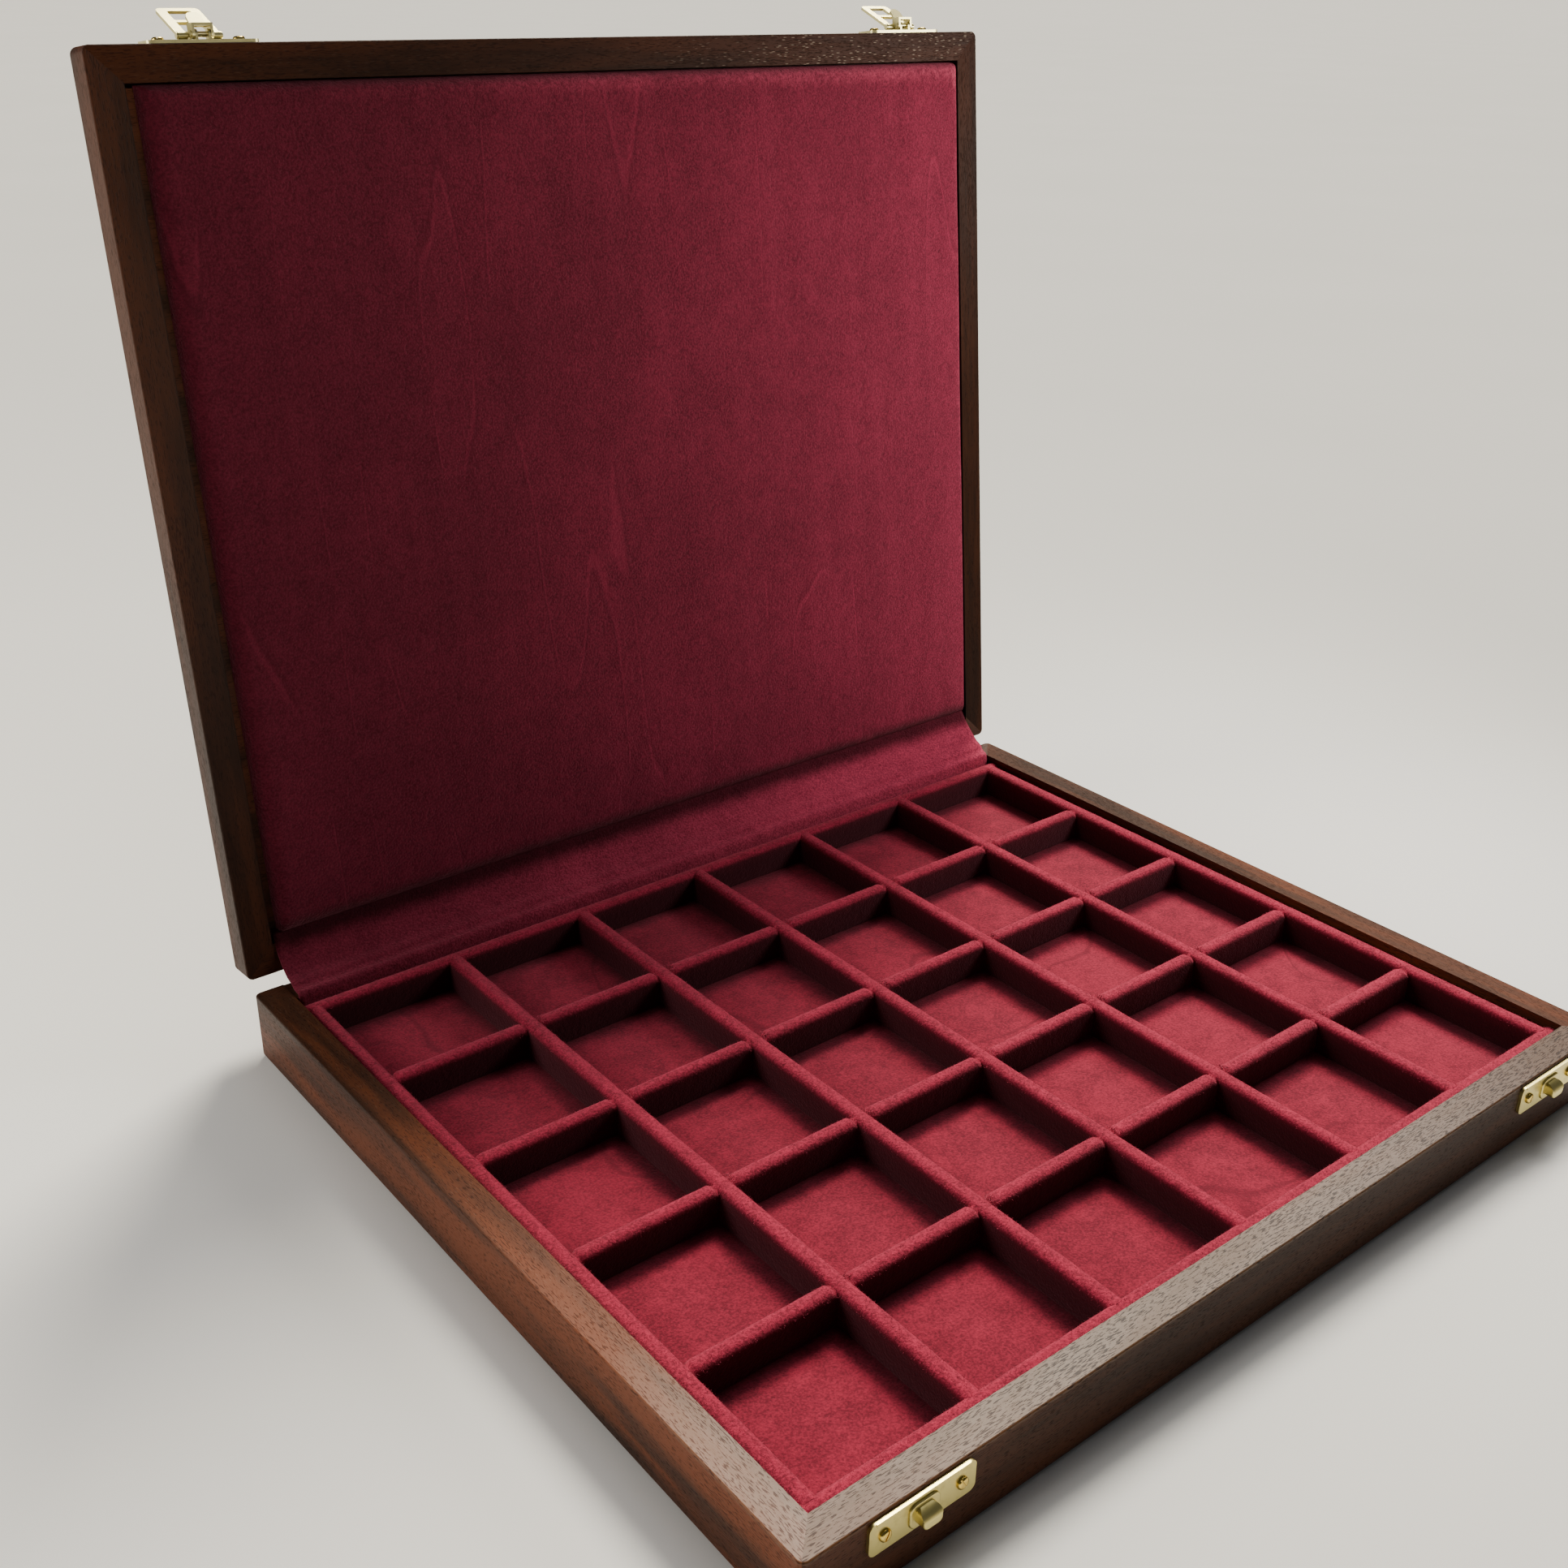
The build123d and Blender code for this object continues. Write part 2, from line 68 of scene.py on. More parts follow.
insideX = caseSize["width"] / 2 - caseSize["rail"]
insideY = caseSize["depth"] / 2 - caseSize["rail"]
trayHeight = caseSize["trayTop"] - caseSize["trayFloor"]
columnPitch = caseSize["cell"] + caseSize["longDivider"]
rowPitch = caseSize["cell"] + caseSize["crossDivider"]
cellsWide = caseSize["columns"] * columnPitch - caseSize["longDivider"]
cellsDeep = caseSize["rows"] * rowPitch - caseSize["crossDivider"]
trayFront = -insideY
trayBack = trayFront + 2 * caseSize["edgeStrip"] + cellsDeep
trayMiddle = (trayFront + trayBack) / 2
hingePoint = Vector((
    0,
    caseSize["depth"] / 2 + caseSize["hingeSetBack"],
    caseSize["rim"] + caseSize["shutGap"] / 2,
))
openLid = (
    Matrix.Translation(hingePoint)
    @ Matrix.Rotation(-math.radians(caseSize["openAngle"]), 4, "X")
    @ Matrix.Translation(-hingePoint)
)


class Value:
    # a socket with arithmetic: an expression on values adds its Math nodes
    def __init__(self, maker, socket):
        self.maker = maker
        self.socket = socket

    def maths(self, operation, first, second):
        return self.maker.maths(operation, first, second)

    def __add__(self, other):
        return self.maths("ADD", self, other)

    def __radd__(self, other):
        return self.maths("ADD", other, self)

    def __sub__(self, other):
        return self.maths("SUBTRACT", self, other)

    def __rsub__(self, other):
        return self.maths("SUBTRACT", other, self)

    def __mul__(self, other):
        return self.maths("MULTIPLY", self, other)

    def __rmul__(self, other):
        return self.maths("MULTIPLY", other, self)

    def __truediv__(self, other):
        return self.maths("DIVIDE", self, other)

    def __rtruediv__(self, other):
        return self.maths("DIVIDE", other, self)

    def __pow__(self, other):
        return self.maths("POWER", self, other)

    def of(self, name):
        return Value(self.maker, self.socket.node.outputs[name])


class Maker:
    # adds nodes to one tree: type, then settings, then the values or links of its sockets
    def __init__(self, tree):
        self.tree = tree

    def maths(self, operation, first, second=None):
        given = {0: first} if second is None else {0: first, 1: second}
        return self.node("ShaderNodeMath", {"operation": operation}, given)

    def scaled(self, vector, factor):
        return self.node("ShaderNodeVectorMath", {"operation": "SCALE"}, {0: vector, 3: factor})

    def parts(self, vector):
        # X, Y and Z of a vector
        split = self.node("ShaderNodeSeparateXYZ", {}, {0: vector})
        return split.of("X"), split.of("Y"), split.of("Z")

    def node(self, kind, settings=None, values=None, out=0):
        made = self.tree.nodes.new(kind)
        for name, setting in (settings or {}).items():
            setattr(made, name, setting)
        for key, value in (values or {}).items():
            if isinstance(value, Value):
                self.tree.links.new(value.socket, made.inputs[key])
            else:
                made.inputs[key].default_value = value
        return Value(self, made.outputs[out]) if made.outputs else None

    def joined(self, *parts):
        whole = self.node("GeometryNodeJoinGeometry")
        for part in parts:
            self.tree.links.new(part.socket, whole.socket.node.inputs[0])
        return whole

    def mix(self, factor, first, second):
        values = {0: factor, 6: colourOf(first), 7: colourOf(second)}
        return self.node("ShaderNodeMix", {"data_type": "RGBA"}, values, 2)

    def smooth(self, value, low, high):
        values = {"Value": value, "From Min": low, "From Max": high, "To Min": 0.0, "To Max": 1.0}
        return self.node("ShaderNodeMapRange", {"interpolation_type": "SMOOTHSTEP"}, values)

    def noise(self, place, scale, detail, roughness):
        values = {"Vector": place, "Scale": scale, "Detail": detail, "Roughness": roughness}
        return self.node("ShaderNodeTexNoise", {}, values)

    def placed(self, turn=(0, 0, 0), scale=(1, 1, 1), shift=(0, 0, 0)):
        # object coordinates turned first, then scaled, so that a grain follows a rail
        here = self.node("ShaderNodeTexCoord", out="Object")
        turned = self.node("ShaderNodeMapping", {}, {
            "Vector": here, "Location": shift, "Rotation": turn,
        })
        return self.node("ShaderNodeVectorMath", {"operation": "MULTIPLY"}, {0: turned, 1: scale})


def colourOf(colour):
    return colour if isinstance(colour, Value) else (*colour, 1)


def newFinish(name):
    material = bpy.data.materials.new(name)
    material.use_nodes = True
    material.node_tree.nodes.clear()
    return material, Maker(material.node_tree)


def surface(maker, values):
    shader = maker.node("ShaderNodeBsdfPrincipled", {}, values)
    maker.node("ShaderNodeOutputMaterial", {}, {"Surface": shader})


woodLook = {
    "dark": (0.0420, 0.0160, 0.0075),
    "mid": (0.0940, 0.0345, 0.0160),
    "warm": (0.2250, 0.0590, 0.0190),
    "pore": (0.0090, 0.0045, 0.0030),
    "poreGlints": (0.5600, 0.4500, 0.3400),
    "rubbedSheen": (0.1650, 0.0700, 0.0150),
    # how often each pattern repeats in a metre, along and across the grain
    "broad": (5, 55, 55),
    "fine": (40, 620, 620),
    "patches": (40, 110, 110),
    "dash": (300, 1700, 1700),
    "shift": 0.37,
    "poreLength": 0.0024,
    "poreWidth": 0.00036,
    "poreShare": 0.55,
    "poreDepth": 0.00010,
    "poreStrength": 0.5,
    "roughness": 0.44,
    "waxRoughness": 0.40,
    "rimDepth": 0.0016,
}


def paintedPoreGlints(maker, colour, turn, x, patches, reach):
    # painted glints: light flecks in the open pores stand in for light caught at their edges, more
    # of them to one end
    dashes = maker.placed(turn, woodLook["dash"], (3, 1, 2))
    dash = maker.node("ShaderNodeTexVoronoi", {}, {"Vector": dashes, "Scale": 1.0})
    chance = maker.parts(dash.of("Color"))[0]
    end = maker.smooth(x + 0.10 * (patches - 0.5), *reach)
    held = maker.smooth(chance + 0.7 * (patches - 0.5), 0.47, 0.58)
    light = (1 - maker.smooth(dash.of("Distance"), 0.14, 0.34)) * held * (0.02 + 0.44 * end)
    return maker.mix(light, colour, woodLook["poreGlints"])


def woodFinish(name, turn, shift, piece):
    look = woodLook
    material, maker = newFinish(name)

    def pattern(scale, detail, roughness):
        return maker.noise(maker.placed(turn, scale, shift), 1.0, detail, roughness)

    broad = pattern(look["broad"], 4.0, 0.6)
    fine = pattern(look["fine"], 3.0, 0.6)
    poreAlong, poreAcross = 1 / look["poreLength"], 1 / look["poreWidth"]
    pores = pattern((poreAlong, poreAcross, poreAcross), 1.5, 0.5)
    patches = pattern(look["patches"], 2.0, 0.5)
    poreShare = look["poreShare"]
    poreMask = maker.smooth(pores + 0.22 * patches, poreShare + 0.09, poreShare + 0.20)
    dark, mid, warm = ([c * piece["tone"] for c in look[key]] for key in ("dark", "mid", "warm"))
    body = maker.mix(maker.smooth(0.6 * broad + 0.4 * fine, 0.32, 0.68), dark, mid)
    body = maker.mix(maker.smooth(broad, 0.38, 0.64) * piece["warmth"], body, warm)
    colour = maker.mix(poreMask * 0.5, body, look["pore"])
    x, y, z = maker.parts(maker.placed())
    if piece["shaded"]:
        # painted shade: the side towards the pad is darker, taking the pore colour
        innerShade = maker.smooth(maker.maths("ABSOLUTE", x), insideX - 0.0002, insideX + 0.0005)
        colour = maker.mix(innerShade, look["pore"], colour)
    if piece["poreGlints"]:
        colour = paintedPoreGlints(maker, colour, turn, x, patches, piece["poreGlints"])
    bump = maker.node("ShaderNodeBump", {}, {
        "Strength": look["poreStrength"],
        "Distance": look["poreDepth"],
        "Height": 0.25 * fine - poreMask,
    })
    # the top of the rim is waxed and worn by rubbing, but not in its pores; its lighter colour
    # there is partly wear and partly painted sheen
    top = maker.smooth(z, caseSize["rim"] - look["rimDepth"], caseSize["rim"] - 0.0002)
    if piece["fade"]:
        axis, start, end, rest = piece["fade"]
        along = {"X": x, "Y": y}[axis] + 0.05 * (patches - 0.5)
        top = top * (1 - (1 - rest) * maker.smooth(along, start, end))
    wax = piece["wax"]
    speckle = maker.smooth(0.5 * fine + 0.5 * patches, 0.34, 0.62)
    waxed = 0.02 + wax * top * (1 - 0.55 * poreMask) * (0.72 + 0.42 * speckle)
    colour = maker.mix(top * min(0.5, wax) * (1 - poreMask), colour, look["rubbedSheen"])
    surface(maker, {
        "Base Color": colour,
        "Roughness": look["roughness"] + 0.10 * fine + 0.16 * poreMask,
        "Normal": bump,
        "Specular IOR Level": piece["shine"],
        "Coat Weight": waxed,
        "Coat Roughness": look["waxRoughness"],
        "Coat IOR": 1.45,
    })
    return material


alongX = (0, 0, 0)
alongY = (0, 0, math.pi / 2)
plainWood = {
    "grain": alongX,
    "warmth": 0.30,
    "shine": 0.18,
    "tone": 0.75,
    "poreGlints": None,  # where along X the painted glints in the pores begin and where they are full
    "wax": 0.0,
    "fade": None,  # axis along which the wax and the painted sheen of the rim top thin, from where to where, and to what share
    "shaded": False,
}
# tone and warmth differ from piece to piece; the darker tones of the lid pieces are partly painted
# shade, the higher tone of the left base rail partly painted light
woodPieces = {
    "base_front_rail": {
        "warmth": 0.20, "shine": 0.14, "wax": 0.39, "fade": ("X", 0.02, 0.17, 0.65),
    },
    "base_back_rail": {},
    "base_left_rail": {
        "grain": alongY, "warmth": 0.95, "tone": 0.82, "poreGlints": (-0.40, 0.90), "wax": 0.43,
        "fade": ("Y", -0.118, -0.066, 0.06),
    },
    "base_right_rail": {"grain": alongY, "warmth": 0.80, "shine": 0.07},
    "base_bottom_panel": {"warmth": 0.25},
    "lid_front_rail": {"shine": 0.07, "tone": 0.48, "poreGlints": (0.00, 0.14)},
    "lid_back_rail": {"shine": 0.14, "tone": 0.60},
    "lid_left_rail": {"grain": "lid", "shine": 0.16, "tone": 0.55, "shaded": True},
    "lid_right_rail": {
        "grain": "lid", "warmth": 0.45, "shine": 0.04, "tone": 0.42, "shaded": True,
    },
    "lid_top_panel": {"warmth": 0.25, "tone": 0.60},
    "tray_board": {"warmth": 0.50, "shine": 0.20, "tone": 1.0},
    "lid_pad_board": {"warmth": 0.50, "shine": 0.20, "tone": 1.0},
}


def lidSideTurn():
    # brings the direction up the open lid onto X
    up = openLid.to_3x3() @ Vector((0, -1, 0))
    return Vector(up).rotation_difference(Vector((1, 0, 0))).to_euler()


def setFinish(node, material):
    mesh = nodes[node].data
    mesh.materials.clear()
    mesh.materials.append(material)


for order, (node, changes) in enumerate(woodPieces.items()):
    piece = {**plainWood, **changes}
    turn = tuple(lidSideTurn()) if piece["grain"] == "lid" else piece["grain"]
    shift = tuple(woodLook["shift"] * order * step for step in (1.7, 0.9, 2.3))
    setFinish(node, woodFinish("wood_" + node, turn, shift, piece))
print("wood finished")


brassLook = {
    "plate": {"colour": (0.82, 0.74, 0.38), "tarnish": (0.58, 0.48, 0.18), "roughness": 0.28},
    "keeper": {"colour": (0.68, 0.58, 0.22), "tarnish": (0.44, 0.34, 0.10), "roughness": 0.27},
    "screw": {"colour": (0.74, 0.54, 0.13), "tarnish": (0.34, 0.22, 0.05), "roughness": 0.17},
    "smudgeScale": 260.0,
    "smudged": 0.45,
    "gritScale": 2600.0,
    "gritDepth": 0.00004,
}


def brassFinish(kind):
    look = brassLook[kind]
    material, maker = newFinish(kind + "_brass")
    smudge = maker.noise(maker.placed(), brassLook["smudgeScale"], 3.0, 0.6)
    grit = maker.noise(maker.placed(), brassLook["gritScale"], 2.0, 0.5)
    tarnished = maker.smooth(smudge, 0.52, 0.78) * brassLook["smudged"]
    colour = maker.mix(tarnished, look["colour"], look["tarnish"])
    bump = maker.node("ShaderNodeBump", {}, {
        "Strength": 0.25,
        "Distance": brassLook["gritDepth"],
        "Height": grit,
    })
    surface(maker, {
        "Base Color": colour,
        "Metallic": 1.0,
        "Roughness": look["roughness"] + 0.16 * smudge,
        "Normal": bump,
    })
    return material


plateBrass = brassFinish("plate")
keeperBrass = brassFinish("keeper")
screwBrass = brassFinish("screw")
for node in nodes:
    if not node.startswith(("left_", "right_")):
        continue
    if node.endswith("screws"):
        setFinish(node, screwBrass)
    elif "keeper" in node:
        setFinish(node, keeperBrass)
    else:
        setFinish(node, plateBrass)
print("brass finished")


padLook = {
    "left": -0.1702,
    "right": 0.1738,
    "front": -0.1442,
    "hinge": 0.1425,
    "back": 0.0320,
    "thickness": 0.0062,
    "crown": 0.0005,
    "leftShoulder": 0.0062,
    "rightShoulder": 0.0020,
    "frontShoulder": 0.0040,
    "hingeShoulder": 0.0070,
    "cornerFill": 0.65,
    "cornerReach": 0.030,
    "step": 0.0040,
    "valleyDepth": 0.0045,
    "ripple": 0.00020,
    "longRipple": 0.00022,
    "edgeWave": 0.0004,
    "swell": 0.0002,
    "pressure": 4.0,
    "swellFrames": 20,
}


def shutPoint(y, z):
    # where a point of the shut lid is when the lid is open
    return (openLid @ Vector((0, y, z))).yz


padLook["top"] = shutPoint(padLook["front"], padLook["back"] - padLook["thickness"])[1]
valleyPoint = shutPoint(padLook["hinge"], padLook["back"] - padLook["valleyDepth"])

# In each look some values set painted light and shade: the darkening of upright faces, of the
# floor along the cell walls and of the hinge valley is painted shade; the lightening to one side
# and along the pad's edges is painted light; the crease lines are painted shade with a painted
# highlight
velvetLook = {
    "floor": {
        "colour": (0.345, 0.0215, 0.0500), "deep": (0.125, 0.0072, 0.0182), "wall": 1.0,
        "glow": (1.0, 0.34, 0.42), "glowWeight": 0.35, "glowRoughness": 0.50,
        "patch": 0.26, "streak": 0.0, "lightGradient": 0.0, "relief": 0.0003, "valleyShade": 0.0,
        "creased": 0.60, "creases": (11, 11, 11), "creaseHighlight": 0.0, "corner": 0.35,
    },
    "strip": {
        "colour": (0.445, 0.0280, 0.0680), "deep": (0.158, 0.0080, 0.0215), "wall": 0.06,
        "glow": (1.0, 0.34, 0.42), "glowWeight": 0.30, "glowRoughness": 0.55,
        "patch": 0.12, "streak": 0.0, "lightGradient": 0.0, "relief": 0.0004, "valleyShade": 0.0,
        "creased": 0.0, "corner": 1.0,
    },
    "lid": {
        "colour": (0.235, 0.0220, 0.0500), "deep": (0.098, 0.0085, 0.0205), "wall": 1.0,
        "glow": (1.0, 0.34, 0.43), "glowWeight": 0.38, "glowRoughness": 0.45,
        "patch": 0.10, "streak": 0.12, "lightGradient": 0.40, "relief": 0.0008, "valleyShade": 0.80,
        "creased": 0.35, "creases": (26, 3.2, 3.2), "creaseHighlight": 0.45, "corner": 1.0,
        "edgeHighlight": (0.560, 0.0780, 0.1380),
    },
    # how often the pile, its clumps, the nap and its broad patches repeat in a metre
    "pileScale": 1250.0,
    "clumpScale": 520.0,
    "napScale": 110.0,
    "broadScale": 18.0,
    "streakScale": (70, 6, 6),
}
# a lighter copy of the strip velvet for the loose fibres, without the darkened upright faces; its
# extra lightness is painted light on the fuzz
velvetLook["pile"] = {
    **velvetLook["strip"],
    "colour": (0.600, 0.0750, 0.1350), "deep": (0.300, 0.0270, 0.0550), "wall": 1.0,
}
# a lighter copy of the lid velvet for the hinge strip; its extra lightness is painted light
velvetLook["bridge"] = {
    **velvetLook["lid"],
    "colour": (0.400, 0.0440, 0.0860), "deep": (0.170, 0.0158, 0.0345), "glowWeight": 0.25,
    "creased": 0.0,
}


class Nap:
    # the patterns that every part of one velvet finish reads
    def __init__(self, maker):
        self.place = maker.placed()
        self.pile = maker.noise(self.place, velvetLook["pileScale"], 3.0, 0.7)
        self.clump = maker.noise(self.place, velvetLook["clumpScale"], 3.0, 0.6)
        self.nap = maker.noise(self.place, velvetLook["napScale"], 4.0, 0.7)
        self.broad = maker.noise(self.place, velvetLook["broadScale"], 2.0, 0.5)


def wornVelvet(maker, look, cloth):
    pressed = maker.smooth(0.6 * cloth.nap + 0.4 * cloth.broad, 0.42, 0.60)
    worn = maker.smooth(0.72 * cloth.pile + 0.15 * cloth.clump + 0.13 * cloth.nap, 0.36, 0.64)
    worn = worn * (1 - look["patch"]) + look["patch"] * pressed
    if look["streak"]:
        pulled = maker.noise(maker.placed(alongX, velvetLook["streakScale"]), 1.0, 3.0, 0.6)
        worn = worn * (1 - look["streak"]) + look["streak"] * maker.smooth(pulled, 0.35, 0.65)
    return maker.mix(worn, look["deep"], look["colour"])


def paintedValleyShade(maker, look, cloth, colour):
    # painted shade: dark where the hinge strip leaves the pad
    _, y, z = maker.parts(cloth.place)
    y, z = y - valleyPoint[0], z - valleyPoint[1]
    away = (y * y + z * z) ** 0.5 + 0.002 * (cloth.nap - 0.5)
    return maker.scaled(colour, 1 - look["valleyShade"] * (1 - maker.smooth(away, 0.0010, 0.0085)))


def paintedFolds(maker, look, cloth, colour):
    # painted shade and highlight: thin wandering dark marks where the cloth was once folded, with
    # a painted highlight along one side
    fold = maker.noise(maker.placed(alongX, look["creases"]), 1.0, 1.5, 0.45)
    fold = fold + 0.02 * (cloth.nap - 0.5)
    seen = maker.smooth(cloth.broad, 0.44, 0.56) * look["creased"]
    dark = 1 - maker.smooth(maker.maths("ABSOLUTE", fold - 0.5), 0.0012, 0.0075)
    colour = maker.mix(dark * seen, colour, look["deep"])
    pale = 1 - maker.smooth(maker.maths("ABSOLUTE", fold - 0.492), 0.0012, 0.0065)
    light = [2 * c for c in look["colour"]]
    return maker.mix(pale * seen * look["creaseHighlight"], colour, light)


def cellCornerShade(maker, look, cloth, colour):
    # painted shade: the floor darkens along the walls of each cell
    x, y, _ = maker.parts(cloth.place)
    dx = maker.maths("PINGPONG", x, columnPitch / 2) - caseSize["longDivider"] / 2
    y = y - (trayMiddle - rowPitch / 2)
    dy = maker.maths("PINGPONG", y, rowPitch / 2) - caseSize["crossDivider"] / 2
    wallAway = maker.maths("MINIMUM", dx, dy)
    middle = maker.smooth(wallAway + 0.003 * (cloth.nap - 0.5), -0.0005, 0.0085)
    return maker.scaled(colour, look["corner"] + (1 - look["corner"]) * middle)


def paintedPadLight(maker, look, cloth, colour):
    # painted light: the pad lightens to the right and towards its lower end, with painted
    # highlights along its right and top edges
    x, _, z = maker.parts(cloth.place)
    side = maker.smooth(x + 0.10 * (cloth.broad - 0.5), -0.16, 0.17)
    light = 1 - look["lightGradient"] + 2 * look["lightGradient"] * side
    light = light * (1.22 - 0.22 * maker.smooth(z, 0.05, 0.17))
    colour = maker.scaled(colour, light)
    stray = 0.006 * (cloth.nap - 0.5) + 0.004 * (cloth.clump - 0.5)
    edge = maker.smooth(x + stray, padLook["right"] - 0.0050, padLook["right"] - 0.0005)
    top = maker.smooth(z + stray, padLook["top"] - 0.0120, padLook["top"] - 0.0005)
    edgeHighlight = (edge * 0.5 + top * (0.25 + 0.60 * side)) * maker.smooth(z, 0.06, 0.12)
    tips = 0.35 + 1.0 * maker.smooth(0.5 * cloth.pile + 0.5 * cloth.clump, 0.36, 0.64)
    return maker.mix(maker.smooth(edgeHighlight, 0.1, 1.2) * tips, colour, look["edgeHighlight"])


def uprightWallShade(maker, look, cloth, colour):
    # painted shade: upright faces are darkened, a little less just below the top
    facing = maker.node("ShaderNodeNewGeometry", out="Normal")
    up = maker.smooth(maker.parts(facing)[2], 0.0, 0.8)
    height = maker.parts(cloth.place)[2] + 0.003 * (cloth.nap - 0.5)
    high = maker.smooth(height, caseSize["trayTop"] - 0.0065, caseSize["trayTop"] - 0.0005)
    low = [c * look["wall"] for c in look["colour"]]
    return maker.mix(up, maker.mix(high, low, [c * 0.14 for c in look["colour"]]), colour)


def velvetFinish(kind):
    look = velvetLook[kind]
    material, maker = newFinish(kind + "_velvet")
    cloth = Nap(maker)
    colour = wornVelvet(maker, look, cloth)
    if look["valleyShade"]:
        colour = paintedValleyShade(maker, look, cloth, colour)
    if look["creased"]:
        colour = paintedFolds(maker, look, cloth, colour)
    if look["corner"] < 1:
        colour = cellCornerShade(maker, look, cloth, colour)
    if look["lightGradient"]:
        colour = paintedPadLight(maker, look, cloth, colour)
    if look["wall"] < 1:
        colour = uprightWallShade(maker, look, cloth, colour)
    bump = maker.node("ShaderNodeBump", {}, {
        "Strength": 0.8,
        "Distance": look["relief"],
        "Height": cloth.pile + 0.6 * cloth.clump + 0.8 * cloth.nap,
    })
    surface(maker, {
        "Base Color": colour,
        "Roughness": 0.84 + 0.12 * cloth.pile,
        "Normal": bump,
        "Specular IOR Level": 0.10,
        "Sheen Weight": look["glowWeight"],
        "Sheen Roughness": look["glowRoughness"],
        "Sheen Tint": (*look["glow"], 1),
    })
    return material


floorVelvet = velvetFinish("floor")
stripVelvet = velvetFinish("strip")
lidVelvet = velvetFinish("lid")
litPileVelvet = velvetFinish("pile")
litBridgeVelvet = velvetFinish("bridge")
print("velvet finished")


def newPiece(name, points, faces, material, smooth=True):
    mesh = bpy.data.meshes.new(name)
    mesh.from_pydata([tuple(p) for p in points], [], faces)
    work = bmesh.new()
    work.from_mesh(mesh)
    bmesh.ops.recalc_face_normals(work, faces=work.faces)
    work.to_mesh(mesh)
    work.free()
    mesh.materials.append(material)
    mesh.polygons.foreach_set("use_smooth", [smooth] * len(mesh.polygons))
    piece = bpy.data.objects.new(name, mesh)
    bpy.context.scene.collection.objects.link(piece)
    return piece


def gridFaces(across, along, start=0, flip=False):
    # faces of a sheet of points, counted row by row
    faces = []
    for j in range(along - 1):
        for i in range(across - 1):
            a = start + j * across + i
            quad = (a, a + 1, a + across + 1, a + across)
            faces.append(quad[::-1] if flip else quad)
    return faces


def wave(x, y, scale, seed):
    return noise.noise(Vector((x * scale + seed, y * scale - seed, 0.37 * seed)))


def bakeModifiers(piece):
    # the evaluated shape becomes the piece's own plain mesh
    bpy.context.view_layer.update()
    evaluated = piece.evaluated_get(bpy.context.evaluated_depsgraph_get())
    mesh = bpy.data.meshes.new_from_object(evaluated)
    mesh.name = piece.name
    piece.modifiers.clear()
    piece.data = mesh
    return piece


def newTree(name, inputs):
    # an empty Geometry Nodes tree with named inputs and one output
    tree = bpy.data.node_groups.new(name, "GeometryNodeTree")
    face = tree.interface
    face.new_socket(name="Geometry", in_out="OUTPUT", socket_type="NodeSocketGeometry")
    for kind, labels in inputs.items():
        for label in labels:
            face.new_socket(name=label, in_out="INPUT", socket_type="NodeSocket" + kind)
    maker = Maker(tree)
    return tree, maker, maker.node("NodeGroupInput")


def grow(name, tree, inputs):
    # runs a Geometry Nodes tree on an empty mesh and keeps the plain result
    piece = bpy.data.objects.new(name, bpy.data.meshes.new(name))
    bpy.context.scene.collection.objects.link(piece)
    modifier = piece.modifiers.new("grow", "NODES")
    modifier.node_group = tree
    for item in tree.interface.items_tree:
        if item.in_out == "INPUT" and item.name in inputs:
            modifier[item.identifier] = inputs[item.name]
    return bakeModifiers(piece)


stripLook = {
    "roundness": 0.0025,
    "step": 0.0008,
    "unevenness": 0.00026,
    "tuckDepth": 0.0012,
    "tuckWidth": 0.0008,
    "pileLength": 0.0008,
    "pileThickness": 0.00007,
    "pileDensity": 0.9e6,
    "seed": 7,
    # how far strips reach into the ones they meet, and what is left free beside the rails
    "longEnds": 0.0036,
    "crossEnds": 0.0030,
    "sideEnds": 0.0034,
    "crossDrop": 0.0001,
    "play": 0.0008,
    "railPlay": 0.0006,
}


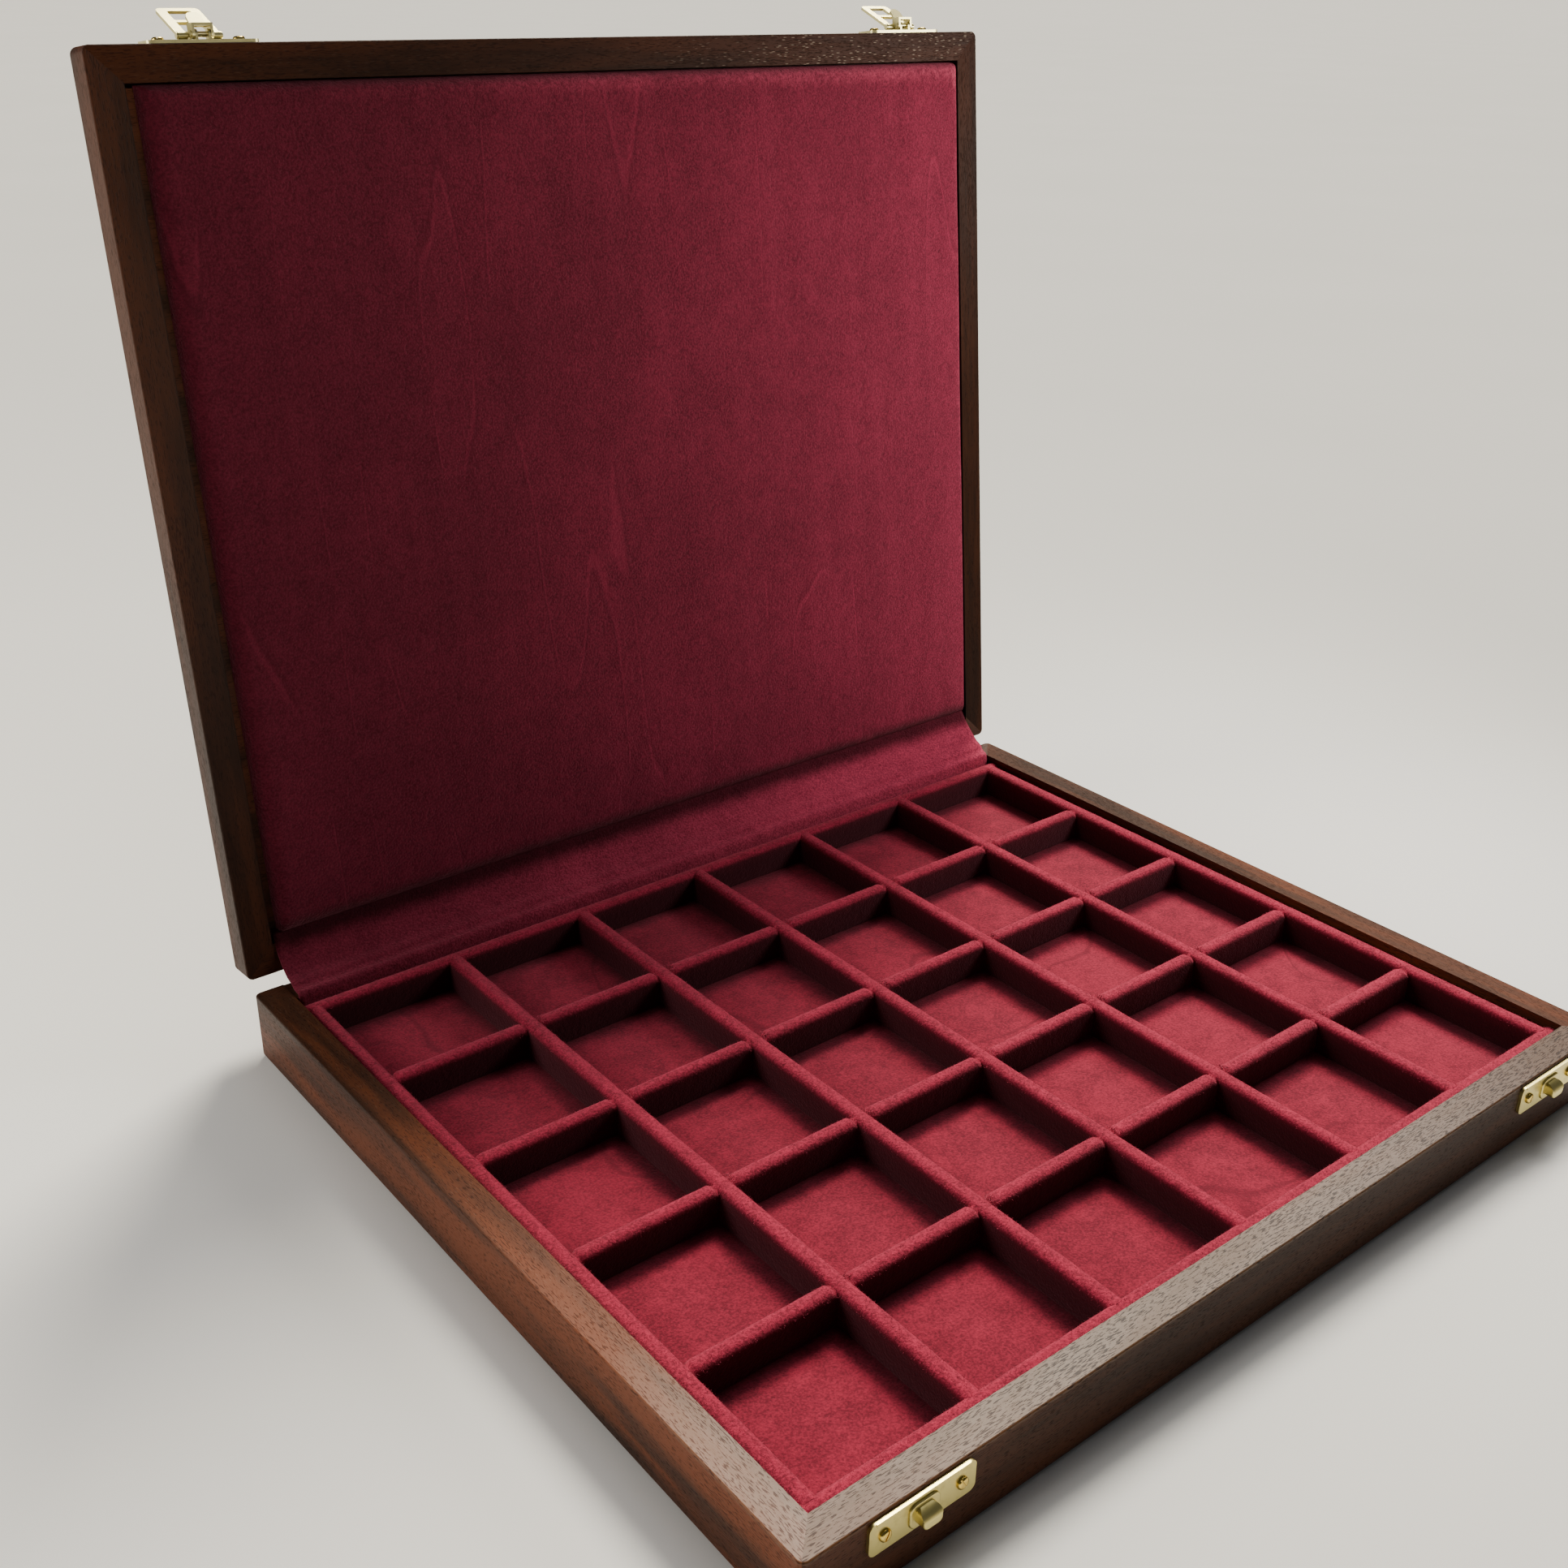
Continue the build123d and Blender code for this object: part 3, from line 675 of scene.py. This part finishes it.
def stripTree():
    # velvet-wrapped strips along X, side by side along Y, tucked in where others cross them
    tree, maker, given = newTree("velvetStrips", {
        "Int": ("Count", "Seed"),
        "Float": (
            "Pitch", "Length", "Width", "Height", "Roundness", "Step", "Unevenness",
            "Tuck Depth", "Tuck Width", "Crossing Pitch", "Crossing Width", "Crossing Shift",
            "Pile Length", "Pile Thickness", "Pile Density",
        ),
        "Material": ("Material", "Pile Material"),
    })
    half = given.of("Length") * 0.5
    start = maker.node("ShaderNodeCombineXYZ", {}, {0: 0 - half})
    end = maker.node("ShaderNodeCombineXYZ", {}, {0: half})
    line = maker.node("GeometryNodeCurvePrimitiveLine", {}, {"Start": start, "End": end})
    steps = maker.maths("ROUND", given.of("Length") / given.of("Step"))
    line = maker.node("GeometryNodeResampleCurve", {}, {"Curve": line, "Count": steps})
    line = maker.node("GeometryNodeSetCurveNormal", {"mode": "Z_UP"}, {0: line})
    sides = {"Width": given.of("Width"), "Height": given.of("Height")}
    outline = maker.node("GeometryNodeCurvePrimitiveQuadrilateral", {"mode": "RECTANGLE"}, sides)
    corner = maker.node("GeometryNodeInputPosition")
    height = maker.parts(corner)[1]
    isTop = maker.node("FunctionNodeCompare", {"operation": "LESS_THAN"}, {0: height, 1: 0.0})
    radius = maker.node("GeometryNodeSwitch", {"input_type": "FLOAT"}, {
        0: isTop, 1: 0.0004, 2: given.of("Roundness"),
    })
    outline = maker.node("GeometryNodeFilletCurve", {"mode": "POLY"}, {
        "Curve": outline, "Count": 7, "Radius": radius, "Limit Radius": True,
    })
    strip = maker.node("GeometryNodeCurveToMesh", {}, {
        "Curve": line, "Profile Curve": outline, "Fill Caps": True,
    })
    # the top dips in a narrow groove beside each strip that crosses
    x, _, z = maker.parts(maker.node("GeometryNodeInputPosition"))
    along = x + given.of("Crossing Shift") + given.of("Crossing Pitch") * 50.0
    ping = maker.maths("PINGPONG", along, given.of("Crossing Pitch") * 0.5)
    off = (ping - given.of("Crossing Width") * 0.5) / given.of("Tuck Width")
    groove = maker.maths("EXPONENT", 0 - off * off)
    atTop = maker.smooth(z, 0.0, given.of("Height") * 0.5)
    down = groove * atTop * given.of("Tuck Depth")
    soft = maker.node("ShaderNodeTexNoise", {}, {"Scale": 160.0, "Detail": 2.0})
    fuzz = maker.node("ShaderNodeTexNoise", {}, {"Scale": 1100.0, "Detail": 1.0})
    bulge = (soft * 0.55 + fuzz * 0.45 - 0.5) * given.of("Unevenness") * 2.0
    normal = maker.node("GeometryNodeInputNormal")
    offset = maker.scaled(normal, bulge * atTop)
    sink = maker.node("ShaderNodeCombineXYZ", {}, {2: 0 - down})
    offset = maker.node("ShaderNodeVectorMath", {"operation": "ADD"}, {0: offset, 1: sink})
    strip = maker.node("GeometryNodeSetPosition", {}, {"Geometry": strip, "Offset": offset})
    strip = maker.node("GeometryNodeSetShadeSmooth", {}, {0: strip})
    # side by side
    reach = given.of("Pitch") * (given.of("Count") - 1) * 0.5
    places = maker.node("GeometryNodeMeshLine", {"mode": "OFFSET"}, {
        "Count": given.of("Count"),
        "Start Location": maker.node("ShaderNodeCombineXYZ", {}, {1: 0 - reach}),
        "Offset": maker.node("ShaderNodeCombineXYZ", {}, {1: given.of("Pitch")}),
    })
    strips = maker.node("GeometryNodeInstanceOnPoints", {}, {"Points": places, "Instance": strip})
    strips = maker.node("GeometryNodeRealizeInstances", {}, {0: strips})
    # loose fibres of the pile stand on the rounded tops
    normal = maker.node("GeometryNodeInputNormal")
    rise = maker.parts(normal)[2]
    onTop = maker.node("FunctionNodeCompare", {"operation": "GREATER_THAN"}, {0: rise, 1: 0.12})
    roots = maker.node("GeometryNodeDistributePointsOnFaces", {}, {
        "Mesh": strips, "Selection": onTop, "Density": given.of("Pile Density"),
        "Seed": given.of("Seed"),
    })
    fibre = maker.node("GeometryNodeMeshCone", {"fill_type": "NGON"}, {
        "Vertices": 3, "Radius Top": 0.0, "Radius Bottom": given.of("Pile Thickness"),
        "Depth": given.of("Pile Length"),
    })
    lean = maker.node("FunctionNodeRandomValue", {"data_type": "FLOAT_VECTOR"}, {
        0: (-0.7, -0.7, 0.0), 1: (0.7, 0.7, 3.0), "Seed": given.of("Seed"),
    })
    leaning = maker.node("FunctionNodeRotateEuler", {"rotation_type": "EULER", "space": "LOCAL"}, {
        0: roots.of("Rotation"), 1: lean,
    })
    size = maker.node("FunctionNodeRandomValue", {"data_type": "FLOAT"}, {
        2: 0.5, 3: 1.0, "Seed": given.of("Seed"),
    }, 1)
    fibres = maker.node("GeometryNodeInstanceOnPoints", {}, {
        "Points": roots, "Instance": fibre, "Rotation": leaning, "Scale": size,
    })
    mark = {"data_type": "BOOLEAN", "domain": "INSTANCE"}
    fibres = maker.node("GeometryNodeStoreNamedAttribute", mark, {
        "Geometry": fibres, "Name": "isPile", "Value": True,
    })
    strips = maker.node("GeometryNodeRealizeInstances", {}, {0: maker.joined(strips, fibres)})
    strips = maker.node("GeometryNodeSetMaterial", {}, {
        "Geometry": strips, "Material": given.of("Material"),
    })
    isPile = maker.node("GeometryNodeInputNamedAttribute", {"data_type": "BOOLEAN"}, {
        "Name": "isPile",
    })
    strips = maker.node("GeometryNodeSetMaterial", {}, {
        "Geometry": strips, "Selection": isPile, "Material": given.of("Pile Material"),
    })
    maker.node("NodeGroupOutput", {}, {0: strips})
    return tree


velvetStrips = stripTree()


def strips(name, cadNodes, count, pitch, length, width, crossing, turn, place):
    crossPitch, crossWidth, crossShift = crossing
    piece = grow(name, velvetStrips, {
        "Count": count, "Pitch": pitch, "Length": length, "Width": width, "Height": trayHeight,
        "Roundness": stripLook["roundness"], "Step": stripLook["step"],
        "Unevenness": stripLook["unevenness"], "Tuck Depth": stripLook["tuckDepth"],
        "Tuck Width": stripLook["tuckWidth"], "Crossing Pitch": crossPitch,
        "Crossing Width": crossWidth, "Crossing Shift": crossShift, "Material": stripVelvet,
        "Pile Length": stripLook["pileLength"], "Pile Thickness": stripLook["pileThickness"],
        "Pile Density": stripLook["pileDensity"], "Seed": stripLook["seed"],
        "Pile Material": litPileVelvet,
    })
    piece.data.transform(Matrix.Translation(place) @ Matrix.Rotation(turn, 4, "Z"))
    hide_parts(*cadNodes)
    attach(piece, "base")


stripZ = caseSize["trayFloor"] + trayHeight / 2
sideStrip = insideX - cellsWide / 2 - stripLook["play"]
noCrossing = (10.0, 0.0, 5.0)
acrossCells = (columnPitch, caseSize["longDivider"], 0.0)
quarter = math.pi / 2
longCount, crossCount = caseSize["columns"] - 1, caseSize["rows"] - 1

strips("longDividers", [f"tray_long_divider_{i + 1}" for i in range(longCount)], longCount,
       columnPitch, cellsDeep + stripLook["longEnds"], caseSize["longDivider"], noCrossing,
       quarter, (0, trayMiddle, stripZ))
strips("crossDividers", [f"tray_cross_divider_{i + 1}" for i in range(crossCount)], crossCount,
       rowPitch, cellsWide + stripLook["crossEnds"], caseSize["crossDivider"], acrossCells,
       0, (0, trayMiddle, stripZ - stripLook["crossDrop"]))
for side, name in ((-1, "front"), (1, "back")):
    y = trayMiddle + side * (cellsDeep + caseSize["edgeStrip"]) / 2
    strips(f"{name}EdgeStrip", [f"tray_{name}_strip"], 1, 0.0,
           2 * insideX - stripLook["railPlay"], caseSize["edgeStrip"], noCrossing,
           0, (0, y, stripZ))
for side, name in ((-1, "left"), (1, "right")):
    x = side * (cellsWide + sideStrip) / 2
    strips(f"{name}EdgeStrip", [f"tray_{name}_strip"], 1, 0.0,
           cellsDeep + stripLook["sideEnds"], sideStrip, noCrossing,
           quarter, (x, trayMiddle, stripZ))
print("tray strips made")


floorLook = {"step": 0.0025, "height": 0.00012, "thickness": 0.001}


def trayFloor():
    across = int(2 * insideX / floorLook["step"])
    along = int((insideY - trayFront) / floorLook["step"])
    points = []
    for j in range(along):
        for i in range(across):
            x = -insideX + 2 * insideX * i / (across - 1)
            y = trayFront + 2 * insideY * j / (along - 1)
            lift = floorLook["height"] * wave(x, y, 60, 3.1)
            points.append((x, y, caseSize["trayFloor"] + lift))
    piece = newPiece("trayFloor", points, gridFaces(across, along), floorVelvet)
    solid = piece.modifiers.new("thickness", "SOLIDIFY")
    solid.thickness = floorLook["thickness"]
    solid.offset = -1
    bakeModifiers(piece)
    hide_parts("tray_floor_velvet")
    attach(piece, "base")


trayFloor()
print("tray floor made")

tuftLook = {
    "fibres": 22,
    "length": 0.0017,
    "thickness": 0.00011,
    "spread": (0.0007, 0.0024, 0.0002),
    "beside": 0.0034,
    "below": 0.0009,
    "seed": 4,
}


def tuftTree():
    # small curled tufts where the cut ends of the velvet meet, one at each place of a grid
    tree, maker, given = newTree("crossingTufts", {
        "Int": ("Columns", "Rows", "Fibres", "Seed"),
        "Float": ("Column Pitch", "Row Pitch", "Length", "Thickness"),
        "Vector": ("Spread",),
        "Material": ("Material",),
    })
    count = given.of("Columns") * given.of("Rows") * given.of("Fibres")
    dots = maker.node("GeometryNodeMeshLine", {}, {"Count": count})
    index = maker.node("GeometryNodeInputIndex")
    crossing = maker.maths("FLOOR", index / given.of("Fibres") + 0.001)
    row = maker.maths("FLOOR", crossing / given.of("Columns") + 0.001)
    column = crossing - row * given.of("Columns")
    middle = maker.node("ShaderNodeCombineXYZ", {}, {
        0: (column - (given.of("Columns") - 1) * 0.5) * given.of("Column Pitch"),
        1: (row - (given.of("Rows") - 1) * 0.5) * given.of("Row Pitch"),
    })
    stray = maker.node("FunctionNodeRandomValue", {"data_type": "FLOAT_VECTOR"}, {
        0: (-1.0, -1.0, -1.0), 1: (1.0, 1.0, 1.0), "Seed": given.of("Seed"),
    })
    stray = maker.node("ShaderNodeVectorMath", {"operation": "MULTIPLY"}, {
        0: stray, 1: given.of("Spread"),
    })
    place = maker.node("ShaderNodeVectorMath", {"operation": "ADD"}, {0: middle, 1: stray})
    dots = maker.node("GeometryNodeSetPosition", {}, {"Geometry": dots, "Position": place})
    tall = maker.node("ShaderNodeCombineXYZ", {}, {2: given.of("Length")})
    bent = maker.node("ShaderNodeCombineXYZ", {}, {
        0: given.of("Length") * 0.7, 2: given.of("Length") * 0.6,
    })
    curl = maker.node("GeometryNodeCurveQuadraticBezier", {}, {
        "Resolution": 5, "Start": (0.0, 0.0, 0.0), "Middle": tall, "End": bent,
    })
    ring = maker.node("GeometryNodeCurvePrimitiveCircle", {}, {
        "Resolution": 3, "Radius": given.of("Thickness"),
    })
    fibre = maker.node("GeometryNodeCurveToMesh", {}, {
        "Curve": curl, "Profile Curve": ring, "Fill Caps": True,
    })
    lean = maker.node("FunctionNodeRandomValue", {"data_type": "FLOAT_VECTOR"}, {
        0: (-0.8, -0.8, 0.0), 1: (0.8, 0.8, 6.3), "Seed": given.of("Seed") + 1,
    })
    size = maker.node("FunctionNodeRandomValue", {"data_type": "FLOAT"}, {
        2: 0.4, 3: 1.0, "Seed": given.of("Seed") + 2,
    }, 1)
    tufts = maker.node("GeometryNodeInstanceOnPoints", {}, {
        "Points": dots, "Instance": fibre, "Rotation": lean, "Scale": size,
    })
    tufts = maker.node("GeometryNodeRealizeInstances", {}, {0: tufts})
    tufts = maker.node("GeometryNodeSetMaterial", {}, {
        "Geometry": tufts, "Material": given.of("Material"),
    })
    maker.node("NodeGroupOutput", {}, {0: tufts})
    return tree


def crossingTufts():
    piece = grow("crossingTufts", tuftTree(), {
        "Columns": longCount, "Rows": crossCount,
        "Column Pitch": columnPitch, "Row Pitch": rowPitch,
        "Fibres": tuftLook["fibres"], "Length": tuftLook["length"],
        "Thickness": tuftLook["thickness"], "Spread": tuftLook["spread"],
        "Seed": tuftLook["seed"], "Material": litPileVelvet,
    })
    place = (tuftLook["beside"], trayMiddle, caseSize["trayTop"] - tuftLook["below"])
    piece.data.transform(Matrix.Translation(place))
    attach(piece, "base")


crossingTufts()
print("tufts made")


def spaced(low, high, lowRound, highRound, step):
    # even steps, with a few closer ones over each rounded shoulder
    turns = [0.0, 0.06, 0.2, 0.42, 0.7]
    near = [low + t * lowRound for t in turns]
    far = [high - t * highRound for t in reversed(turns)]
    start, end = low + lowRound, high - highRound
    count = round((end - start) / step)
    return near + [start + (end - start) * k / count for k in range(count + 1)] + far


def shoulder(x, low, high, lowRound, highRound):
    # 0 at an edge, 1 on the flat, on a quarter circle between them
    inside = min(1.0, (x - low) / lowRound, (high - x) / highRound)
    return math.sqrt(max(0.0, 1 - (1 - inside) ** 2))


def padPoints():
    # the pad in the shut lid, its face down
    look = padLook
    xs = (look["left"], look["right"], look["leftShoulder"], look["rightShoulder"])
    ys = (look["front"], look["hinge"], look["frontShoulder"], look["hingeShoulder"])
    columns, rows = spaced(*xs, look["step"]), spaced(*ys, look["step"])
    face, back = [], []
    for y in rows:
        for x in columns:
            u = 2 * (x - xs[0]) / (xs[1] - xs[0]) - 1
            v = 2 * (y - ys[0]) / (ys[1] - ys[0]) - 1
            fuller = 1 - look["cornerFill"] * max(0.0, 1 - (ys[1] - y) / look["cornerReach"])
            rounded = min(shoulder(x, xs[0], xs[1], xs[2] * fuller, xs[3]), shoulder(y, *ys))
            body = look["thickness"] * (0.10 + 0.90 * rounded)
            crown = look["crown"] * (1 - u * u) * (1 - v * v)
            ripple = look["ripple"] * wave(x, y, 24, 1.3)
            ripple += look["longRipple"] * wave(x * 2.4, y * 0.5, 46, 5.2)
            edgeWave = look["edgeWave"] * wave(0, y, 34, 2.2) * abs(u) ** 12
            face.append((x + edgeWave, y, look["back"] - body - (crown + ripple) * rounded))
            back.append((x, y, look["back"]))
    return face, back, len(columns), len(rows)


def swollen(piece, pinned):
    # the velvet is blown up a little over its board, then held within a small distance
    rest = [v.co.copy() for v in piece.data.vertices]
    group = piece.vertex_groups.new(name="glued")
    group.add(pinned, 1.0, "REPLACE")
    frames = padLook["swellFrames"]
    cloth = piece.modifiers.new("swell", "CLOTH")
    settings = cloth.settings
    settings.quality = 4
    settings.mass = 0.3
    settings.tension_stiffness = 12
    settings.compression_stiffness = 12
    settings.shear_stiffness = 4
    settings.bending_stiffness = 0.4
    settings.use_pressure = True
    settings.uniform_pressure_force = padLook["pressure"]
    settings.effector_weights.gravity = 0
    settings.vertex_group_mass = "glued"
    cloth.collision_settings.use_collision = False
    cloth.point_cache.frame_start = 1
    cloth.point_cache.frame_end = frames
    scene = bpy.context.scene
    for step in range(1, frames + 1):
        scene.frame_set(step)
    bakeModifiers(piece)
    scene.frame_set(1)
    for vertex, start in zip(piece.data.vertices, rest):
        move = vertex.co - start
        if move.length > padLook["swell"]:
            vertex.co = start + move.normalized() * padLook["swell"]
    piece.vertex_groups.clear()


def lidPad():
    face, back, across, along = padPoints()
    faces = gridFaces(across, along) + gridFaces(across, along, len(face), True)
    rim = list(range(across))
    rim += [j * across + across - 1 for j in range(1, along)]
    rim += [(along - 1) * across + i for i in range(across - 2, -1, -1)]
    rim += [j * across for j in range(along - 2, 0, -1)]
    for a, b in zip(rim, rim[1:] + rim[:1]):
        faces.append((a, b, b + len(face), a + len(face)))
    piece = newPiece("lidPad", face + back, faces, lidVelvet)
    swollen(piece, list(range(len(face), len(face) * 2)))
    finer = piece.modifiers.new("finer", "SUBSURF")
    finer.levels = finer.render_levels = 1
    bakeModifiers(piece)
    piece.data.transform(openLid)
    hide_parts("lid_pad")
    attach(piece, "lid")


lidPad()
print("lid pad made")


bridgeLook = {
    # points of its path in Y and Z: two in the shut lid, two on the base
    "lidTuck": (0.1412, 0.0316),
    "lidCrease": (0.1412, 0.0288),
    "rimEdge": (0.1440, 0.0270),
    "trayTuck": (0.1435, 0.0190),
    "stations": (0.08, 0.2, 0.32, 0.44, 0.56, 0.66, 0.74, 0.8, 0.86, 0.93),
    "across": 174,
    "halfWidth": 0.1728,
    "thickness": 0.0008,
    "sagLeft": 0.0034,
    "sagRight": 0.0006,
    "ripple": 0.0004,
    "puff": 0.0009,
    "fold": 0.0009,
    "foldPlace": 0.78,
    "foldWidth": 0.06,
    "slack": 1.03,
}


def softened(path, rounds):
    # cuts the corners of a line of points, leaving its ends
    for _ in range(rounds):
        cut = [path[0]]
        for a, b in zip(path, path[1:]):
            cut += [a.lerp(b, 0.25), a.lerp(b, 0.75)]
        path = cut + [path[-1]]
    return path


def hingeBridge():
    look = bridgeLook
    tuckLid, crease = shutPoint(*look["lidTuck"]), shutPoint(*look["lidCrease"])
    rimEdge, tuckTray = Vector(look["rimEdge"]), Vector(look["trayTuck"])
    free = crease - rimEdge
    inward = Vector((free.y, -free.x)).normalized()
    points = []
    for i in range(look["across"]):
        u = i / (look["across"] - 1)
        x = (2 * u - 1) * look["halfWidth"]
        sag = look["sagLeft"] + (look["sagRight"] - look["sagLeft"]) * u
        path = [tuckLid, crease]
        for s in look["stations"]:
            hang = 4 * s * (1 - s) * (1 + 0.5 * (s - 0.5))
            bow = (sag + look["ripple"] * wave(x, 0.03 * s, 45, 7.7)) * hang
            bow += look["puff"] * min(1.0, s / 0.2) * min(1.0, (1 - s) / 0.1)
            bow -= look["fold"] * math.exp(-((s - look["foldPlace"]) / look["foldWidth"]) ** 2)
            path.append(crease.lerp(rimEdge, s) + inward * bow)
        path = softened(path + [rimEdge, tuckTray], 2)
        points += [(x, place.x, place.y) for place in path]
    along = len(path)
    piece = newPiece("hingeBridge", points, gridFaces(along, look["across"]), litBridgeVelvet)
    solid = piece.modifiers.new("thickness", "SOLIDIFY")
    solid.thickness = look["thickness"]
    solid.offset = 0
    bakeModifiers(piece)
    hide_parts("hinge_bridge")
    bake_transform(piece)


hingeBridge()
print("hinge strip made")


studio = {
    "reach": 60.0,
    "floor": (0.88, 0.865, 0.83),
    "world": (0.92, 0.96, 1.0),
    "worldStrength": 0.07,
    # name, direction towards the light, angle in degrees, strength, colour
    "suns": [
        ("key", (0.50, 0.44, 0.78), 20, 4.5, (1.0, 0.935, 0.80)),
        ("overhead", (0.30, 0.30, 1.0), 40, 0.75, (1.0, 0.985, 0.97)),
    ],
    # name, place, size, watts, colour
    "lamps": [
        ("side", (0.36, -0.04, 0.32), 0.18, 1.1, (1.0, 0.97, 0.94)),
        ("behind", (-0.80, 0.42, 0.50), 0.50, 4.2, (1.0, 0.96, 0.90)),
    ],
}


def hang(name, light, place, backwards, colour):
    light.color = colour
    holder = bpy.data.objects.new(name, light)
    holder.location = place
    holder.rotation_euler = backwards.to_track_quat("Z", "Y").to_euler()
    bpy.context.scene.collection.objects.link(holder)
    return holder


def makeStudio():
    far = studio["reach"]
    corners = [(-far, -far, 0), (far, -far, 0), (far, far, 0), (-far, far, 0)]
    material, maker = newFinish("pale_floor")
    piece = newPiece("floor", corners, [(0, 1, 2, 3)], material, False)
    cloth = maker.noise(maker.placed(), 3.0, 2.0, 0.5)
    colour = maker.mix(cloth, [c * 0.94 for c in studio["floor"]], studio["floor"])
    surface(maker, {"Base Color": colour, "Roughness": 0.85, "Specular IOR Level": 0.2})
    world = bpy.data.worlds.new("studio")
    bpy.context.scene.world = world
    world.use_nodes = True
    sky = world.node_tree.nodes["Background"]
    sky.inputs["Color"].default_value = (*studio["world"], 1)
    sky.inputs["Strength"].default_value = studio["worldStrength"]
    for name, direction, angle, strength, colour in studio["suns"]:
        sun = bpy.data.lights.new(name, "SUN")
        sun.angle = math.radians(angle)
        sun.energy = strength
        hang(name, sun, direction, Vector(direction), colour)
    for name, place, size, watts, colour in studio["lamps"]:
        lamp = bpy.data.lights.new(name, "AREA")
        lamp.shape = "DISK"
        lamp.size = size
        lamp.energy = watts
        holder = hang(name, lamp, place, Vector(place) - Vector((0, 0.1, 0.1)), colour)
        holder.visible_camera = False


view = {
    "place": (-0.37087, -0.37204, 0.36471),
    "right": (0.77977333, -0.62586187, 0.01582641),
    "up": (0.25864969, 0.34507175, 0.9022338),
    "forward": (0.57013498, 0.69944435, -0.43095673),
    "lens": 39.675,
}


def makeCamera():
    camera = bpy.data.cameras.new("camera")
    camera.lens = view["lens"]
    camera.sensor_width = 36.0
    camera.sensor_fit = "HORIZONTAL"
    camera.clip_start = 0.01
    camera.clip_end = 100.0
    holder = bpy.data.objects.new("camera", camera)
    right, up, forward = Vector(view["right"]), Vector(view["up"]), Vector(view["forward"])
    turn = Matrix((right, up, -forward)).transposed()
    holder.matrix_world = Matrix.Translation(view["place"]) @ turn.to_4x4()
    bpy.context.scene.collection.objects.link(holder)
    bpy.context.scene.camera = holder


makeStudio()
makeCamera()
print("studio and camera set")

bpy.context.view_layer.update()
